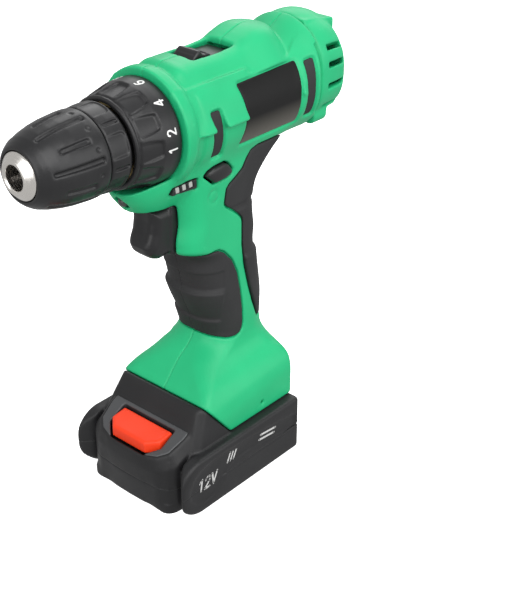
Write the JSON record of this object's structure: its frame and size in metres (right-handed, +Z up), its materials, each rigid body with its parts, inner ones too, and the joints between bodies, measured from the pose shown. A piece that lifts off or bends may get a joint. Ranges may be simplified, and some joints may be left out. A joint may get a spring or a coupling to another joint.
{
  "type": "cordless drill driver",
  "caption": "Compact 12 V pistol-grip cordless drill driver with keyless chuck, torque collar, two-speed slider and slide-off battery pack.",
  "frame": {"origin": "centre of the battery's footprint, on the surface that the drill stands on", "axes": "+X along the spindle, out of the chuck; +Y to the user's left; +Z up"},
  "size_m": [0.1796, 0.072, 0.2092],
  "materials": {
    "housing_plastic": "moulded mint-green ABS, fine satin grain",
    "grip_rubber": "soft overmoulded elastomer, matt",
    "label_film": "satin label film, dark with a lighter lower edge",
    "dark_plastic": "black glass-filled nylon, satin",
    "latch_plastic": "orange-red moulded plastic",
    "nose_metal": "turned steel",
    "tool_steel": "hardened steel",
    "brass": "plain brass",
    "windings": "enamelled copper wire on an iron core",
    "light_alloy": "plain aluminium",
    "clear_lens": "clear moulded lens",
    "wire_cover": "soft PVC"
  },
  "bodies": {
    "root": {"housing_left": "housing_plastic", "housing_right": "housing_plastic", "rear_cap": "housing_plastic", "case_screws": "tool_steel", "front_grip_left": "grip_rubber", "front_grip_right": "grip_rubber", "back_grip_left": "grip_rubber", "back_grip_right": "grip_rubber", "side_inserts": "grip_rubber", "side_labels": "label_film", "motor_can": "tool_steel", "motor_magnets": "tool_steel", "motor_endcap": "dark_plastic", "gearbox_plate": "tool_steel", "gearbox_case": "dark_plastic", "ring_gear": "tool_steel", "spindle_bearing": "tool_steel", "clutch_balls": "tool_steel", "clutch_spring": "tool_steel", "switch_body": "dark_plastic", "trigger_spring": "tool_steel", "heat_sink": "light_alloy", "gauge_board": "dark_plastic", "work_light": "clear_lens", "terminal_block": "dark_plastic", "wires": "wire_cover"},
    "motor_rotor": {"armature": "windings", "pinion": "tool_steel"},
    "first_carrier": {"carrier_1": "tool_steel"},
    "planet_1a": {"planet_1a": "tool_steel"},
    "planet_1b": {"planet_1b": "tool_steel"},
    "planet_1c": {"planet_1c": "tool_steel"},
    "output": {"carrier_2": "tool_steel", "spindle": "tool_steel", "chuck_body": "nose_metal", "rear_sleeve": "dark_plastic", "chuck_screw": "tool_steel"},
    "planet_2a": {"planet_2a": "tool_steel"},
    "planet_2b": {"planet_2b": "tool_steel"},
    "planet_2c": {"planet_2c": "tool_steel"},
    "chuck_sleeve": {"front_sleeve": "dark_plastic", "chuck_nut": "tool_steel"},
    "jaw_a": {"jaw_a": "tool_steel"},
    "jaw_b": {"jaw_b": "tool_steel"},
    "jaw_c": {"jaw_c": "tool_steel"},
    "collar": {"torque_collar": "dark_plastic"},
    "clutch_nut": {"clutch_nut": "brass"},
    "shift_slider": {"speed_selector": "dark_plastic", "shift_fork": "tool_steel", "shift_ring": "tool_steel"},
    "direction_bar": {"direction_selector": "dark_plastic"},
    "trigger": {"trigger": "dark_plastic"},
    "battery": {"battery_top": "dark_plastic", "battery_bottom": "dark_plastic", "battery_cells": "light_alloy", "cell_straps": "light_alloy", "battery_board": "dark_plastic", "latch_springs": "tool_steel", "battery_screws": "tool_steel"},
    "latch": {"battery_latch": "latch_plastic"}
  },
  "joints": [
    {"name": "spindle_spin", "type": "hinge", "parent": "root", "child": "output", "pos_m": [0.0434, 0, 0.1794], "axis": [1, 0, 0], "continuous": true},
    {"name": "first_carrier_spin", "type": "hinge", "parent": "root", "child": "first_carrier", "pos_m": [-0.004, 0, 0.1794], "axis": [1, 0, 0], "continuous": true},
    {"name": "motor_spin", "type": "hinge", "parent": "root", "child": "motor_rotor", "pos_m": [-0.04, 0, 0.1794], "axis": [1, 0, 0], "continuous": true},
    {"name": "planet_1a_spin", "type": "hinge", "parent": "first_carrier", "child": "planet_1a", "pos_m": [-0.0096, 0, 0.16928], "axis": [1, 0, 0], "continuous": true},
    {"name": "planet_1b_spin", "type": "hinge", "parent": "first_carrier", "child": "planet_1b", "pos_m": [-0.0096, 0.00877, 0.18446], "axis": [1, 0, 0], "continuous": true},
    {"name": "planet_1c_spin", "type": "hinge", "parent": "first_carrier", "child": "planet_1c", "pos_m": [-0.0096, -0.00877, 0.18446], "axis": [1, 0, 0], "continuous": true},
    {"name": "planet_2a_spin", "type": "hinge", "parent": "output", "child": "planet_2a", "pos_m": [0.0025, 0, 0.16928], "axis": [1, 0, 0], "continuous": true},
    {"name": "planet_2b_spin", "type": "hinge", "parent": "output", "child": "planet_2b", "pos_m": [0.0025, 0.00877, 0.18446], "axis": [1, 0, 0], "continuous": true},
    {"name": "planet_2c_spin", "type": "hinge", "parent": "output", "child": "planet_2c", "pos_m": [0.0025, -0.00877, 0.18446], "axis": [1, 0, 0], "continuous": true},
    {"name": "chuck_sleeve_turn", "type": "hinge", "parent": "output", "child": "chuck_sleeve", "pos_m": [0.07, 0, 0.1794], "axis": [1, 0, 0], "range_deg": [-720, 0]},
    {"name": "jaw_a_slide", "type": "slide", "parent": "output", "child": "jaw_a", "axis": [0.9397, -0.171, 0.2962], "range_m": [0, 0.01448]},
    {"name": "jaw_b_slide", "type": "slide", "parent": "output", "child": "jaw_b", "axis": [0.9397, -0.171, -0.2962], "range_m": [0, 0.01448]},
    {"name": "jaw_c_slide", "type": "slide", "parent": "output", "child": "jaw_c", "axis": [0.9397, 0.342, 0], "range_m": [0, 0.01448]},
    {"name": "torque_collar_turn", "type": "hinge", "parent": "root", "child": "collar", "pos_m": [0.03, 0, 0.1794], "axis": [1, 0, 0], "range_deg": [-300, 0]},
    {"name": "clutch_nut_slide", "type": "slide", "parent": "collar", "child": "clutch_nut", "axis": [1, 0, 0], "range_m": [-0.0035, 0], "deforming": ["clutch_spring"]},
    {"name": "speed_shift", "type": "slide", "parent": "root", "child": "shift_slider", "axis": [1, 0, 0], "range_m": [-0.004, 0]},
    {"name": "direction_slide", "type": "slide", "parent": "root", "child": "direction_bar", "axis": [0, 1, 0], "range_m": [-0.0025, 0.0025]},
    {"name": "trigger_pull", "type": "slide", "parent": "root", "child": "trigger", "axis": [-1, 0, 0], "range_m": [0, 0.006], "stiffness_N_per_m": 1200, "springref_m": -0.002, "deforming": ["trigger_spring"]},
    {"name": "battery_slide", "type": "slide", "parent": "root", "child": "battery", "axis": [1, 0, 0], "range_m": [0, 0.06]},
    {"name": "latch_press", "type": "slide", "parent": "battery", "child": "latch", "axis": [0, 0, -1], "range_m": [0, 0.0026], "stiffness_N_per_m": 1500, "springref_m": -0.001, "deforming": ["latch_springs"]}
  ],
  "couplings": [
    {"joint": "first_carrier_spin", "follows": "spindle_spin", "ratio": 4.5},
    {"joint": "motor_spin", "follows": "spindle_spin", "ratio": 20.25},
    {"joint": "planet_1a_spin", "follows": "spindle_spin", "ratio": -12.6},
    {"joint": "planet_1b_spin", "follows": "spindle_spin", "ratio": -12.6},
    {"joint": "planet_1c_spin", "follows": "spindle_spin", "ratio": -12.6},
    {"joint": "planet_2a_spin", "follows": "spindle_spin", "ratio": -2.8},
    {"joint": "planet_2b_spin", "follows": "spindle_spin", "ratio": -2.8},
    {"joint": "planet_2c_spin", "follows": "spindle_spin", "ratio": -2.8},
    {"joint": "jaw_a_slide", "follows": "chuck_sleeve_turn", "m_per_rad": -0.0011517},
    {"joint": "jaw_b_slide", "follows": "chuck_sleeve_turn", "m_per_rad": -0.0011517},
    {"joint": "jaw_c_slide", "follows": "chuck_sleeve_turn", "m_per_rad": -0.0011517},
    {"joint": "clutch_nut_slide", "follows": "torque_collar_turn", "m_per_rad": 0.00066838}
  ]
}
